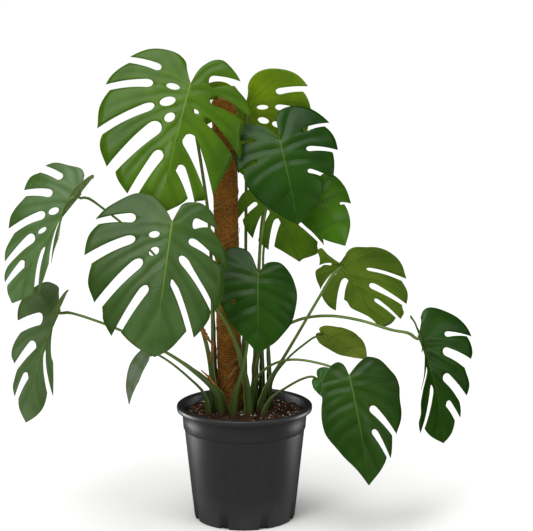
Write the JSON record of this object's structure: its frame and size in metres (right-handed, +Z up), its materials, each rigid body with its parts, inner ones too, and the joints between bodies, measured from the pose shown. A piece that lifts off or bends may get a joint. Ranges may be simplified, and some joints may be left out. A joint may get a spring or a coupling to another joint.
{
  "type": "potted swiss cheese plant",
  "caption": "Swiss cheese plant with split and holed leaves on long stalks round a coir pole, in a round black nursery pot.",
  "frame": {"origin": "middle of the pot's flat underside, on the surface it stands on", "axes": "+Z up, -Y out of the front that faces the viewer, +X to the viewer's right"},
  "size_m": [0.8533, 0.3425, 0.8773],
  "materials": {
    "pot_plastic": "satin",
    "potting_soil": "rough, moist",
    "pole_wood": "raw",
    "coir": "rough fibre",
    "twine": "rough",
    "aerial_root": "dry",
    "leaf_pale": "satin",
    "leaf_green": "satin",
    "leaf_dark": "glossy",
    "petiole": "satin"
  },
  "bodies": {
    "root": {"nursery_pot": "pot_plastic", "soil": "potting_soil", "pole_core": "pole_wood", "pole_coir": "coir", "pole_twine": "twine", "aerial_root_1": "aerial_root", "aerial_root_2": "aerial_root", "leaf_01_blade": "leaf_pale", "leaf_01_petiole": "petiole", "leaf_02_blade": "leaf_green", "leaf_02_petiole": "petiole", "leaf_03_blade": "leaf_green", "leaf_03_petiole": "petiole", "leaf_04_blade": "leaf_green", "leaf_04_petiole": "petiole", "leaf_05_blade": "leaf_pale", "leaf_05_petiole": "petiole", "leaf_06_blade": "leaf_dark", "leaf_06_petiole": "petiole", "leaf_07_blade": "leaf_dark", "leaf_07_petiole": "petiole", "leaf_08_blade": "leaf_pale", "leaf_08_petiole": "petiole", "leaf_09_blade": "leaf_dark", "leaf_09_petiole": "petiole", "leaf_10_blade": "leaf_pale", "leaf_10_petiole": "petiole", "leaf_11_blade": "leaf_dark", "leaf_11_petiole": "petiole", "leaf_12_blade": "leaf_dark", "leaf_12_petiole": "petiole", "leaf_13_blade": "leaf_pale", "leaf_13_petiole": "petiole", "leaf_14_blade": "leaf_green", "leaf_14_petiole": "petiole", "leaf_15_blade": "leaf_dark", "leaf_15_petiole": "petiole"}
  },
  "joints": []
}
